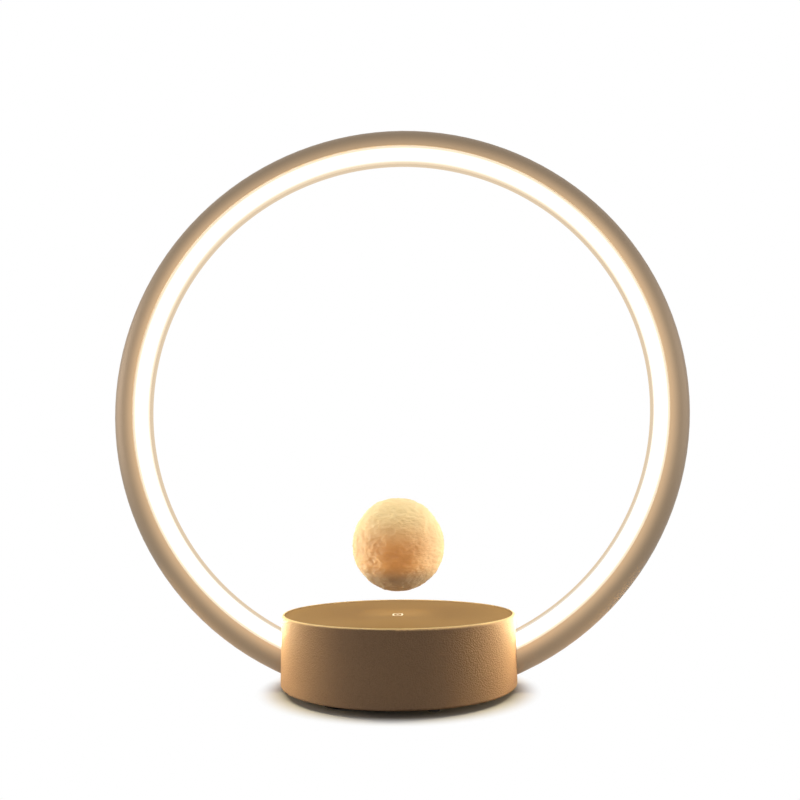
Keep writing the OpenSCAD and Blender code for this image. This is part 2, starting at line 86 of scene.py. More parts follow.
camera_data = bpy.data.cameras.new("camera")
camera_data.sensor_width = SENSOR
camera_data.lens = FOCAL_PIXELS * SENSOR / IMAGE_SIDE
camera_data.clip_start = NEAREST_SEEN
camera = bpy.data.objects.new("camera", camera_data)
scene.collection.objects.link(camera)
directions = Matrix((right, up, -ahead)).transposed()
camera.matrix_world = Matrix.Translation(CAMERA_PLACE) @ directions.to_4x4()
scene.camera = camera
print("lens:", round(camera_data.lens, 2), "mm")

# %% [markdown]
# ## Sums of sockets
# A finish is a small network of nodes. Adding each Math node by hand makes long code, so this class
# wraps a socket and lets it stand in a sum like a number: `1 - mask` adds one Math node. Every
# other node comes from its one method `node`, which sets the node's settings first and its sockets
# after them.

# %% A socket that can be used in sums
class Wire:
    """One output socket of a node tree."""

    def __init__(self, tree, socket=None):
        self.tree = tree
        self.socket = socket

    def node(self, kind, settings=None, inputs=None, out=0):
        """Add a node of any kind and return one of its outputs."""
        made = self.tree.nodes.new(kind)
        for name, value in (settings or {}).items():
            setattr(made, name, value)
        for name, value in (inputs or {}).items():
            if isinstance(value, Wire):
                self.tree.links.new(value.socket, made.inputs[name])
            else:
                made.inputs[name].default_value = value
        return Wire(self.tree, made.outputs[out])

    def other(self, name):
        """Another output of the same node."""
        return Wire(self.tree, self.socket.node.outputs[name])

    def math(self, operation, first, second):
        """One Math node."""
        return self.node("ShaderNodeMath", {"operation": operation}, {0: first, 1: second})

    def __add__(self, value):
        return self.math("ADD", self, value)

    __radd__ = __add__

    def __sub__(self, value):
        return self.math("SUBTRACT", self, value)

    def __rsub__(self, value):
        return self.math("SUBTRACT", value, self)

    def __mul__(self, value):
        return self.math("MULTIPLY", self, value)

    __rmul__ = __mul__

    def __pow__(self, value):
        return self.math("POWER", self, value)

    def axis(self, name):
        """One number of this place: its X, Y or Z."""
        return self.node("ShaderNodeSeparateXYZ", None, {0: self}, out=name)

    def diagonal(self, side):
        """The long side of a right-angled triangle with these two short sides."""
        return (self * self + side * side) ** 0.5

    def step(self, start, end):
        """A soft step from 0 at start to 1 at end."""
        return self.node(
            "ShaderNodeMapRange", {"interpolation_type": "SMOOTHSTEP"},
            {"Value": self, "From Min": start, "From Max": end},
        )

    def blend(self, first, second):
        """The first colour where this is 0, the second where it is 1."""
        return self.node("ShaderNodeMix", {"data_type": "RGBA"}, {0: self, 6: first, 7: second}, out=2)

    def cloud(self, size, detail=2.0, rough=0.5):
        """Soft noise over this place, with lumps of that size."""
        return self.node(
            "ShaderNodeTexNoise", None,
            {"Vector": self, "Scale": 1 / size, "Detail": detail, "Roughness": rough},
        )

    def pebbles(self, size, feature="F1"):
        """Distance to the nearest of many points: a pebbled grain. Another feature gives its edges."""
        return self.node(
            "ShaderNodeTexVoronoi", {"feature": feature}, {"Vector": self, "Scale": 1 / size},
        )

    def stretched(self, scale):
        """This place, scaled along each axis: a pattern on it runs along the axis with a small scale."""
        return self.node("ShaderNodeMapping", None, {"Vector": self, "Scale": scale})

    def bump(self, depth):
        """A normal from this height, which counts in depths."""
        return self.node(
            "ShaderNodeBump", None, {"Height": self, "Distance": depth, "Strength": 1.0}, out="Normal",
        )


# %% A new finish
def shade(red, green, blue):
    """A colour written as it is seen, from 0 to 255, as the linear colour that a shader takes.

    The numbers are those of the sRGB curve.
    """
    linear = [
        part / 12.92 if part <= 0.04045 else ((part + 0.055) / 1.055) ** 2.4
        for part in (red / 255, green / 255, blue / 255)
    ]
    return (*linear, 1.0)


def new_finish(name, fixed):
    """A material with one shader. Fixed values go straight on its sockets."""
    material = bpy.data.materials.new(name)
    material.use_nodes = True
    shader = material.node_tree.nodes["Principled BSDF"]
    for socket, value in fixed.items():
        shader.inputs[socket].default_value = value
    place = Wire(material.node_tree).node("ShaderNodeTexCoord", out="Object")
    return material, shader, place


def drive(shader, **wires):
    """Link what changes over the surface: Base_Color=..., Roughness=..., Normal=..."""
    for name, wire in wires.items():
        wire.tree.links.new(wire.socket, shader.inputs[name.replace("_", " ")])


def wear(material, *names):
    """Give a finish to CAD nodes."""
    for name in names:
        nodes[name].data.materials.clear()
        nodes[name].data.materials.append(material)
    print(material.name, "on", ", ".join(names))


# %% [markdown]
# ## Floor and background
# The lamp is shown on white. A bright world would bleach the object, so the world is white only to
# the rays that see it: camera, mirror and glass rays. All other rays meet a dim, warm room. The
# floor does the same: rays that see it meet white paper that shines by itself, except round the
# drum, where they meet plain pale paint, so the drum keeps its shadow. For all other rays it is a
# dim table.

# %% Rays that see the background
ROOM_LIGHT = (0.07, 0.065, 0.062, 1)
WHITE = (1, 1, 1, 1)


def seeing_rays(start):
    """1 for rays that look at the background, 0 for rays that carry light."""
    path = start.node("ShaderNodeLightPath", out="Is Camera Ray")
    return (path + path.other("Is Glossy Ray") + path.other("Is Transmission Ray")).step(0.0, 1.0)


# %% World
world = bpy.data.worlds.new("studio")
world.use_nodes = True
scene.world = world
sky = world.node_tree.nodes["Background"]
sky_colour = seeing_rays(Wire(world.node_tree)).blend(ROOM_LIGHT, WHITE)
world.node_tree.links.new(sky_colour.socket, sky.inputs["Color"])
print("room light:", ROOM_LIGHT[:3])

# %% Floor
FLOOR_SIDE = 60.0
SHADOW_NEAR = 54 * MM
SHADOW_FAR = 69 * MM


def floor_paper():
    """Pale paint near the drum and shining paper beyond it, or a dim table to rays that carry light."""
    material, shader, place = new_finish("floor_paper", {"Roughness": 1.0, "Specular IOR Level": 0.0})
    seen = seeing_rays(place)
    dim_table = shade(110, 104, 96)
    pale_paint = shade(226, 222, 214)
    drive(shader, Base_Color=seen.blend(dim_table, pale_paint))
    across = place.axis("X")
    away = across.diagonal(across.other("Y"))
    shine = away.step(SHADOW_NEAR, SHADOW_FAR) * seen
    paper = place.node("ShaderNodeEmission", None, {"Color": WHITE, "Strength": 1.0})
    paint = Wire(material.node_tree, shader.outputs["BSDF"])
    mixed = place.node("ShaderNodeMixShader", None, {0: shine, 1: paint, 2: paper})
    surface = material.node_tree.nodes["Material Output"].inputs["Surface"]
    material.node_tree.links.new(mixed.socket, surface)
    return material


floor_mesh = bmesh.new()
bmesh.ops.create_grid(floor_mesh, x_segments=1, y_segments=1, size=FLOOR_SIDE / 2)
floor_data = bpy.data.meshes.new("floor")
floor_mesh.to_mesh(floor_data)
floor_mesh.free()
floor_data.materials.append(floor_paper())
floor = bpy.data.objects.new("floor", floor_data)
scene.collection.objects.link(floor)
print("floor side:", FLOOR_SIDE, "m")

# %% [markdown]
# ## The studio
# Two broad softboxes at the left and right model the ring from its sides, and a weaker one fills
# the front. They leave the front of the drum in half shade, where the lamp's own light can show.
# Two low strips beside the drum are the ring's light that comes back off the table: it is what
# warms the lower sides of the drum.

# %% Area lamps
def area_lamp(name, matrix, size, watts, colour, spread=math.pi):
    """A rectangular lamp that shines along its own -Z. The camera doesn't see it."""
    data = bpy.data.lights.new(name, "AREA")
    data.shape = "RECTANGLE"
    data.size, data.size_y = size
    data.energy = watts
    data.color = colour
    data.spread = spread
    lamp = bpy.data.objects.new(name, data)
    lamp.matrix_world = matrix
    lamp.visible_camera = False
    scene.collection.objects.link(lamp)


def aimed(place, target):
    """The matrix of a lamp at a place that looks at a target."""
    place = Vector(place)
    turn = (Vector(target) - place).to_track_quat("-Z", "Y")
    return Matrix.Translation(place) @ turn.to_matrix().to_4x4()


# %% Softboxes
BOX_SIZE = (0.9, 0.9)
BOX_COLOUR = (1.0, 0.96, 0.93)
BOX_TARGET = (0, 0, 0.12)
BOXES = (
    ("left_box", (-1.3, -0.2, 0.3), 5.2),
    ("right_box", (1.3, -0.2, 0.4), 2.4),
    ("front_box", (0.5, -1.2, 0.4), 1.3),
)

for name, place, watts in BOXES:
    area_lamp(name, aimed(place, BOX_TARGET), BOX_SIZE, watts, BOX_COLOUR)
    print(name, watts, "W")

# %% Light off the table
TABLE_SIZE = (0.1, 0.03)
TABLE_COLOUR = shade(255, 216, 150)[:3]
TABLE_ASIDE = 0.2
TABLE_BEHIND = 0.035
TABLE_HEIGHT = 0.016
TABLE_TARGET = (0, 0, 0.014)
TABLE_WATTS = 0.019
TABLE_SPREAD = math.radians(45)

for side in (-1, 1):
    beside_drum = aimed((side * TABLE_ASIDE, TABLE_BEHIND, TABLE_HEIGHT), TABLE_TARGET)
    area_lamp("table_light", beside_drum, TABLE_SIZE, TABLE_WATTS, TABLE_COLOUR, TABLE_SPREAD)
print("table lights:", TABLE_WATTS, "W each")

# %% [markdown]
# ## Measures of the lamp
# The frame gives each node's box, so the few sizes that the new pieces need are read from it and
# not typed again. The ring's tube is round, so the ring's box holds both of its radii. The drum's
# wall cuts the ring's centre line a certain turn away from the ring's lowest point, and the light
# starts there.

# %% Sizes from the frame
ring_low, ring_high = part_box("ring_frame")
base_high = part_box("base_shell")[1]
RING_OUTER = (ring_high.x - ring_low.x) / 2
TUBE_R = (ring_high.y - ring_low.y) / 2
RING_R = RING_OUTER - TUBE_R
RING_Z = ring_high.z - RING_OUTER
BASE_R = base_high.x
BASE_TOP = base_high.z
PANEL_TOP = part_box("top_panel")[1].z
WALL_TURN = math.asin(BASE_R / RING_R)
print("ring radius:", round(RING_R / MM, 2), "tube:", round(TUBE_R / MM, 2))
print("ring centre:", round(RING_Z / MM, 2), "drum radius:", round(BASE_R / MM, 2))

# %% [markdown]
# ## The ring's metal
# The outer half of the tube is champagne anodised metal with a fine blasted grain. A plain colour
# would look like card, so the grain drives both the roughness and a very shallow bump. Next to the
# light, the metal's lip has a painted glow: an emission that stands for the ring's light spilling
# onto the lip. The painted glow weakens towards the top, as the light does, and follows the section
# of the tube, so it is the same from every side.

# %% Place in the tube's section
def across_tube(place):
    """How far a point lies outside the ring's centre line: below 0 towards the middle of the ring."""
    across = place.axis("X")
    height = across.other("Z") - RING_Z
    return across.diagonal(height) - RING_R


# %% Ring metal
LIP_ANGLE = math.radians(74)
LIP_DEPTH = -TUBE_R * math.cos(LIP_ANGLE)
PAINTED_GLOW_REACH = 7.5 * MM
PAINTED_GLOW_CURVE = 1.5
PAINTED_GLOW_LOSS = 0.45
PAINTED_GLOW_LOSS_START = RING_Z + 0.5 * RING_R


def ring_metal():
    """Blasted champagne metal, with a painted glow on its lip for the ring's light spilling onto it."""
    material, shader, place = new_finish("ring_champagne", {"Metallic": 0.42, "Emission Strength": 1.0})
    blast = place.cloud(size=0.5 * MM, detail=3.0)
    drift = place.cloud(size=60 * MM, detail=1.0)
    champagne = drift.blend(shade(180, 156, 128), shade(188, 164, 135))
    # Painted light: an emission on the metal near the lip stands for the ring's light spilling onto it, and
    # fades towards the top.
    near_lip = across_tube(place).step(LIP_DEPTH + PAINTED_GLOW_REACH, LIP_DEPTH) ** PAINTED_GLOW_CURVE
    painted_glow_fade = PAINTED_GLOW_LOSS * place.axis("Z").step(PAINTED_GLOW_LOSS_START, RING_Z + RING_R)
    painted_lip_glow = near_lip * (1 - painted_glow_fade)
    drive(
        shader,
        Base_Color=(blast * 0.2).blend(champagne, shade(156, 132, 102)),
        Roughness=0.44 + blast * 0.1,
        Normal=blast.bump(depth=0.007 * MM),
        Emission_Color=painted_lip_glow.blend(shade(0, 0, 0), shade(160, 131, 98)),
    )
    return material


wear(ring_metal(), "ring_frame")

# %% [markdown]
# ## The light
# The inner half of the tube is a milky moulding, lit from behind. One glowing solid would melt into
# a white background, because its edge would be as white as what lies behind it. On the real piece
# the last millimetres are a skin that the light passes through, so it looks darker and warmer where
# one looks along it. The piece is made as two layers: a glowing core, and a thin see-through skin
# over it. Each starts as one section, a closed line of points on two arcs, and is spun about the
# ring's axis. The ends are then slid along the ring until they lie on the drum's wall. The skin's
# darker, warmer edge is painted shade: its glow is dimmer and warmer along the crest of the tube.

# %% A closed section between two arcs
ARC_POINTS = 28


def crescent(bm, outer, inner, reach):
    """Edges of the section between two radii, that far to both sides of the inward direction."""
    turns = [reach * (2 * k / ARC_POINTS - 1) for k in range(ARC_POINTS + 1)]
    path = [(outer, turn) for turn in turns] + [(inner, turn) for turn in reversed(turns)]
    points = [
        bm.verts.new((RING_R - radius * math.cos(turn), radius * math.sin(turn), RING_Z))
        for radius, turn in path
    ]
    return [bm.edges.new((points[k - 1], points[k])) for k in range(len(points))]


# %% Spin a section round the ring
SPIN_STEPS = 220
WALL_GAP = 0.1 * MM


def spin_round_ring(bm, edges):
    """Sweep edges round the ring, from one side of the drum over the top to the other."""
    centre = Vector((0, 0, RING_Z))
    to_start = Matrix.Rotation(math.pi / 2 - WALL_TURN, 3, "Y")
    bmesh.ops.rotate(bm, verts=bm.verts, cent=centre, matrix=to_start)
    sweep = 2 * (math.pi - WALL_TURN)
    section = edges + list(bm.verts)
    bmesh.ops.spin(bm, geom=section, cent=centre, axis=(0, -1, 0), angle=sweep, steps=SPIN_STEPS)
    # Each point slides along the ring by its share of the way, so that the ends reach the drum's wall.
    for vert in bm.verts:
        radius = math.hypot(vert.co.x, vert.co.z - RING_Z)
        turn = math.atan2(-vert.co.x, vert.co.z - RING_Z)
        wall = math.sqrt((BASE_R + WALL_GAP) ** 2 - vert.co.y ** 2)
        turn *= (math.pi - math.asin(wall / radius)) / (math.pi - WALL_TURN)
        vert.co.x = -radius * math.sin(turn)
        vert.co.z = RING_Z + radius * math.cos(turn)
    ends = [edge for edge in bm.edges if edge.is_boundary]
    bmesh.ops.edgeloop_fill(bm, edges=ends)
    bmesh.ops.recalc_face_normals(bm, faces=bm.faces)


# %% Turn a bmesh into a piece
SHARP = math.radians(40)


def piece(name, bm, material, body):
    """A smooth-shaded object at the origin that rides on a body."""
    data = bpy.data.meshes.new(name)
    for face in bm.faces:
        face.smooth = True
    bm.to_mesh(data)
    bm.free()
    data.set_sharp_from_angle(angle=SHARP)
    data.materials.append(material)
    made = bpy.data.objects.new(name, data)
    scene.collection.objects.link(made)
    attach(made, body)
    print(name, "faces:", len(data.polygons))
    return made


# %% Finishes of the skin and the core
CREST = -0.985 * TUBE_R
CREST_END = -0.855 * TUBE_R
CREST_ALPHA = 0.8
SIDE_ALPHA = 0.08
GLOW_STRENGTH = 1.6
DIM_LIP = 1.4 * MM


def milky_skin():
    """Dark by itself, and glowing. Along the crest, the innermost line of the tube, its glow is painted
    shade: warmer and dimmer.
    """
    fixed = {
        "Base Color": shade(40, 30, 20), "Roughness": 0.5, "Specular IOR Level": 0.1,
        "Emission Strength": 1.0,
    }
    material, shader, place = new_finish("milky_skin", fixed)
    # Painted shade: a warmer, dimmer glow along the crest stands for the darker edge seen along the skin.
    off_crest = across_tube(place).step(CREST, CREST_END)
    drive(
        shader,
        Emission_Color=off_crest.blend(shade(206, 177, 134), shade(255, 250, 238)),
        Alpha=CREST_ALPHA - (CREST_ALPHA - SIDE_ALPHA) * off_crest,
    )
    return material


def warm_light():
    """White hot, but dim under the metal's lip, where no light strip lies behind it.

    Its own colour is a dull grey, so that the lamps near it hardly add to its glow.
    """
    fixed = {"Roughness": 0.6, "Emission Strength": GLOW_STRENGTH}
    material, shader, place = new_finish("warm_light", fixed)
    haze = place.cloud(size=3.0 * MM)
    clear_of_lip = across_tube(place).step(LIP_DEPTH, LIP_DEPTH - DIM_LIP)
    white = haze.blend(shade(255, 248, 234), shade(255, 251, 241))
    drive(
        shader,
        Base_Color=haze.blend(shade(150, 143, 132), shade(140, 132, 120)),
        Emission_Color=clear_of_lip.blend(shade(182, 168, 146), white),
    )
    return material


# %% Skin and core of the light
SKIN_T = 1.7 * MM
LAYER_GAP = 0.05 * MM
MILKY_WALL = 2.8 * MM
LIP_GAP = 0.12 * MM / TUBE_R


def light_layer(name, outer, inner, material):
    """One layer of the milky half, between two radii of the tube."""
    bm = bmesh.new()
    spin_round_ring(bm, crescent(bm, outer, inner, LIP_ANGLE - LIP_GAP))
    return piece(name, bm, material, "base")


skin = light_layer("light_skin", TUBE_R, TUBE_R - SKIN_T, milky_skin())
core = light_layer("light_core", TUBE_R - SKIN_T - LAYER_GAP, TUBE_R - MILKY_WALL, warm_light())
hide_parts("ring_diffuser")
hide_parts("ring_diffuser")

# %% [markdown]
# ## What the light falls on
# The core could also light the drum and the moon by itself. But a surface that is bright enough for
# that burns out its own edges in a picture, so the core glows only a little over white. Its light
# is carried by small lamps instead: two rows of them lie on the skin all round the ring, and look a
# little to the front and a little to the back. A light strip is fed at its two ends, in the drum,
# and loses a little on the way, so the lamps weaken towards the top.

# %% Lamps along the ring
LAMP_COUNT = 40
LAMP_WATTS = 0.0195
TOP_SHARE = 0.45
LAMP_WIDTH = 12 * MM
LAMP_LIFT = 0.5 * MM
LAMP_LEAN = math.radians(40)
LAMP_COLOUR = shade(255, 241, 198)[:3]
LAMP_START = WALL_TURN + math.radians(4)
LAMP_STEP = 2 * (math.pi - LAMP_START) / LAMP_COUNT
LAMP_LENGTH = LAMP_STEP * (RING_R - TUBE_R)


def ring_lamp(turn, lean):
    """One area lamp on the skin, that far round the ring from its lowest point."""
    along = Vector((math.cos(turn), 0, math.sin(turn)))
    inward = Vector((-math.sin(turn), 0, math.cos(turn)))
    facing = inward * math.cos(lean) - Vector((0, math.sin(lean), 0))
    place = Vector((0, 0, RING_Z)) - inward * RING_R + facing * (TUBE_R + LAMP_LIFT)
    sides = Matrix((along, along.cross(facing), -facing)).transposed()
    matrix = Matrix.Translation(place) @ sides.to_4x4()
    watts = LAMP_WATTS * (TOP_SHARE + (1 - TOP_SHARE) * (1 + math.cos(turn)) / 2)
    area_lamp("ring_lamp", matrix, (LAMP_LENGTH, LAMP_WIDTH), watts, LAMP_COLOUR)


for k in range(LAMP_COUNT):
    for lean in (LAMP_LEAN, -LAMP_LEAN):
        ring_lamp(LAMP_START + (k + 0.5) * LAMP_STEP, lean)
print("lamps on the ring:", 2 * LAMP_COUNT)

# %% [markdown]
# ## The drum
# The drum is cast metal under a sand-grained champagne paint, with a thin rim that was turned clean.
# The rim's pale colour is partly a painted highlight, for the light that its rounded edge catches.
# The grain could be modelled, but it is a fraction of a millimetre high, so it is a bump: pebbles
# with a finer noise on them. The rim is found by its height, because only the rim stands above the panel.

# %% Drum paint
RIM_START = BASE_TOP - 0.45 * MM
RIM_END = BASE_TOP - 0.27 * MM


def drum_paint():
    """Sand-grained champagne paint, and a smoother rim, paler partly from a painted highlight."""
    material, shader, place = new_finish("drum_champagne", {"Specular IOR Level": 0.1})
    pebbles = place.pebbles(size=0.62 * MM)
    sand = place.cloud(size=0.34 * MM, detail=3.0)
    # The rim's pale colour is partly a painted highlight, for the light its rounded edge catches.
    rim = place.axis("Z").step(RIM_START, RIM_END)
    paint = (pebbles * 0.35).blend(shade(197, 163, 132), shade(164, 132, 102))
    grain = (pebbles * 0.6 + sand * 0.5) * (1 - rim)
    drive(
        shader,
        Base_Color=rim.blend(paint, shade(222, 196, 152)),
        Roughness=0.6 - 0.24 * rim + 0.12 * sand,
        Normal=grain.bump(depth=0.22 * MM),
    )
    return material


wear(drum_paint(), "base_shell")

# %% [markdown]
# ## The panel and its touch mark
# The panel is painted like the drum but finer, since a hand slides over it. It is seen almost edge
# on, where gloss would turn it into a mirror, so it is rough and its specular level is low. The
# mark is an inlay of pale enamel, with a faint painted glow that keeps it bright.

# %% Panel paint and mark
def panel_paint():
    """Fine, dull champagne paint."""
    material, shader, place = new_finish("panel_champagne", {"Specular IOR Level": 0.15})
    sand = place.cloud(size=0.4 * MM, detail=3.0)
    drive(
        shader,
        Base_Color=(sand * 0.4).blend(shade(146, 116, 74), shade(122, 95, 58)),
        Roughness=0.66 + 0.14 * sand,
        Normal=sand.bump(depth=0.05 * MM),
    )
    return material


def mark_enamel():
    """Pale enamel with a faint painted glow, though the mark is no lamp."""
    material, shader, place = new_finish("mark_enamel", {"Emission Strength": 0.3, "Coat Weight": 0.4})
    fleck = place.cloud(size=0.6 * MM)
    drive(
        shader,
        Base_Color=fleck.blend(shade(232, 216, 190), shade(244, 232, 210)),
        Roughness=0.3 + 0.15 * fleck,
        # Painted light: a faint glow that keeps the mark bright.
        Emission_Color=fleck.blend(shade(240, 214, 170), shade(255, 232, 196)),
    )
    return material


wear(panel_paint(), "top_panel")
wear(mark_enamel(), "touch_mark")

# %% [markdown]
# ## Moonlight
# The moon shades the middle of the panel from the ring. On the real lamp that shade is weak,
# because some of the ring's light soaks through the moon and falls on the panel. The moon's glow in
# this scene is too weak to do that by itself, so a small lamp between the moon and the panel
# carries that light.

# %% Light that the moon throws on the panel
MOONLIGHT_SIZE = (30 * MM, 30 * MM)
MOONLIGHT_LIFT = 9 * MM
MOONLIGHT_WATTS = 0.003

under_moon = Matrix.Translation((0, 0, PANEL_TOP + MOONLIGHT_LIFT))
area_lamp("moonlight", under_moon, MOONLIGHT_SIZE, MOONLIGHT_WATTS, LAMP_COLOUR)
print("moonlight:", MOONLIGHT_WATTS, "W")

# %% [markdown]
# ## The moon
# The ball is a cream moulding that light soaks into, in two shells that meet low down, round the
# magnet. Its ground is wrinkled sideways and a little lumpy, with faint craters. A ball with bump
# alone has a smooth outline, so the lumps are real: each point of a fine ball is moved along its
# own direction by a sum of shallow bowls and of noise. The bowls follow the golden turn, which
# spreads any number of them evenly. Only the finest wrinkles are left to bump. The ball is
# flattened below and split, and each half gets its wall.

# %% Sizes of the moon
shell_low, shell_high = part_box("ball_shell")
cap_low, cap_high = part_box("ball_cap")
BALL_R = (shell_high.x - shell_low.x) / 2
FLAT_R = 5.2 * MM
BALL_Z = cap_low.z + math.sqrt(BALL_R ** 2 - FLAT_R ** 2)
FLAT = cap_low.z - BALL_Z
SPLIT = cap_high.z - BALL_Z
BALL_WALL = 1.2 * MM
print("moon radius:", round(BALL_R / MM, 2), "centre:", round(BALL_Z / MM, 2))
print("over its centre: split", round(SPLIT / MM, 2), "flat", round(FLAT / MM, 2))

# %% Craters
CRATER_COUNT = 130
CRATER_DEPTH = 0.1 * MM
# Heights of the lowest and the highest crater, in radii of the ball.
LOWEST_CRATER = -0.9
HIGHEST_CRATER = 0.97
SMALLEST_CRATER = 0.9 * MM
LARGEST_CRATER = 3.2 * MM
GOLDEN_TURN = math.radians(137.508)
GOLDEN_PART = 0.618
# A crater's rim, in depths and radii of its bowl.
CRATER_RIM_HEIGHT = 0.5
CRATER_RIM_PLACE = 1.05
CRATER_RIM_WIDTH = 0.25


def crater_field():
    """Centres, as directions, and radii of craters spread between two heights by the golden turn."""
    centres = []
    radii = []
    for k in range(CRATER_COUNT):
        rise = LOWEST_CRATER + (HIGHEST_CRATER - LOWEST_CRATER) * (k + 0.5) / CRATER_COUNT
        side = math.sqrt(1 - rise * rise)
        angle = GOLDEN_TURN * k
        centres.append((side * math.cos(angle), side * math.sin(angle), rise))
        radii.append(SMALLEST_CRATER + (LARGEST_CRATER - SMALLEST_CRATER) * (k * GOLDEN_PART % 1))
    return np.array(centres), np.array(radii)


def crater_relief(points):
    """Height of shallow bowls with raised rims, for directions as rows."""
    centres, radii = crater_field()
    away = np.arccos(np.clip(points @ centres.T, -1, 1)) * BALL_R / radii
    bowl = -np.clip(1 - away ** 2, 0, 1)
    rim = CRATER_RIM_HEIGHT * np.exp(-((away - CRATER_RIM_PLACE) / CRATER_RIM_WIDTH) ** 2)
    return CRATER_DEPTH * (bowl + rim).sum(axis=1)


# %% Ground of the moon
LUMP_HEIGHT = 0.42 * MM
LUMPS_PER_RADIUS = 2.8
WRINKLE_HEIGHT = 0.21 * MM
WRINKLES_PER_RADIUS = Vector((5, 5, 12))
# Fall-off, lacunarity and octaves of the noise, and for the ridges of the wrinkles also offset and gain.
LUMP_NOISE = (0.8, 2.0, 3)
WRINKLE_NOISE = (0.9, 2.1, 3, 0.9, 1.6)


def ground(points):
    """Height of the moon's ground over and under its mean radius, for directions as rows."""
    places = [Vector(point) for point in points]
    lumps = np.array([noise.fractal(place * LUMPS_PER_RADIUS, *LUMP_NOISE) for place in places])
    wrinkles = np.array([
        noise.ridged_multi_fractal(place * WRINKLES_PER_RADIUS, *WRINKLE_NOISE) for place in places
    ])
    heights = crater_relief(points) + LUMP_HEIGHT * lumps + WRINKLE_HEIGHT * wrinkles
    return heights - heights.mean()


# %% Model the moon
BALL_STEPS = 7


def rough_ball():
    """The whole moon round the origin, with the height of its ground, in millimetres, for the clay."""
    bm = bmesh.new()
    bmesh.ops.create_icosphere(bm, subdivisions=BALL_STEPS, radius=BALL_R)
    heights = ground(np.array([vert.co.normalized() for vert in bm.verts]))
    tone = bm.verts.layers.float.new("ground")
    for vert, height in zip(bm.verts, heights):
        vert[tone] = height / MM
        vert.co *= 1 + height / BALL_R
        vert.co.z = max(vert.co.z, FLAT)
    print("ground from", round(heights.min() / MM, 2), "to", round(heights.max() / MM, 2), "mm")
    return bm


def moon_half(whole, lower):
    """One shell of the moon: the part on one side of the split, with its wall."""
    bm = whole.copy()
    bmesh.ops.bisect_plane(
        bm, geom=bm.verts[:] + bm.edges[:] + bm.faces[:], plane_co=(0, 0, SPLIT), plane_no=(0, 0, 1),
        clear_outer=lower, clear_inner=not lower,
    )
    bmesh.ops.solidify(bm, geom=bm.faces[:], thickness=BALL_WALL)
    bmesh.ops.translate(bm, verts=bm.verts, vec=(0, 0, BALL_Z))
    return bm


# %% Moon clay
PAINTED_SHADE_BELOW = cap_high.z - 4.5 * MM
PAINTED_GLOW_ABOVE = cap_high.z + 4.5 * MM
PAINTED_PALE_START = BALL_Z - 0.1 * BALL_R
PAINTED_PALE_END = BALL_Z + 0.8 * BALL_R
LOW_GROUND = -0.45
HIGH_GROUND = 0.3
GROUND_SHARE = 0.7
SIDEWAYS = (0.4, 0.4, 1)


def moon_clay():
    """Cream clay, with a painted glow for light soaking through: orange, paler at the top, deeper in the
    hollows, and painted shade low down at the magnet.
    """
    fixed = {
        "Roughness": 0.62, "Specular IOR Level": 0.25, "Subsurface Weight": 1.0,
        "Subsurface Radius": (1.0, 0.75, 0.55), "Subsurface Scale": 0.55 * MM, "Emission Strength": 1.0,
    }
    material, shader, place = new_finish("moon_clay", fixed)
    ground_height = place.node("ShaderNodeAttribute", {"attribute_name": "ground"}, out="Fac")
    wrinkles = place.stretched(SIDEWAYS).cloud(size=0.75 * MM, detail=3.0, rough=0.6)
    raised = ground_height.step(LOW_GROUND, HIGH_GROUND) * GROUND_SHARE + wrinkles * (1 - GROUND_SHARE)
    height = place.axis("Z")
    # Painted light: the emission stands for the ring's light soaking through the shell. It is paler towards
    # the top, deeper in the hollows of the ground, and a painted shade low down, where the magnet sits
    # behind the wall. The base colour is also a little darker in the hollows.
    painted_orange_glow = raised.blend(shade(168, 105, 47), shade(196, 134, 70))
    painted_soak_light = height.step(PAINTED_PALE_START, PAINTED_PALE_END).blend(painted_orange_glow, shade(203, 174, 116))
    drive(
        shader,
        Base_Color=raised.blend(shade(144, 134, 123), shade(152, 143, 132)),
        Normal=wrinkles.bump(depth=0.34 * MM),
        Emission_Color=height.step(PAINTED_SHADE_BELOW, PAINTED_GLOW_ABOVE).blend(shade(96, 71, 51), painted_soak_light),
    )
    return material


# %% Both halves of the moon
whole_moon = rough_ball()
moon_finish = moon_clay()
moon_shell = piece("moon_shell", moon_half(whole_moon, False), moon_finish, "ball")
moon_cap = piece("moon_cap", moon_half(whole_moon, True), moon_finish, "ball")
whole_moon.free()
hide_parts("ball_shell")
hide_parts("ball_cap")

# %% [markdown]
# ## Plastics and rubber
# Moulded plastic is never one flat colour: a spark-eroded mould leaves a fine grain, and the colour
# clouds a little. Feet, cover, sockets, chip packages, sleeves and tape share one recipe with their
# own colour, grain and gloss.

# %% Moulded pieces
def moulded(name, colour, darker, roughness, grain):
    """Plastic or rubber with a grain of that size."""
    material, shader, place = new_finish(name, {"Specular IOR Level": 0.4})
    texture = place.cloud(size=grain, detail=3.0)
    drift = place.cloud(size=12 * MM)
    drive(
        shader,
        Base_Color=(texture * 0.4 + drift * 0.4).blend(colour, darker),
        Roughness=roughness + 0.15 * texture,
        Normal=texture.bump(depth=0.03 * MM),
    )
    return material


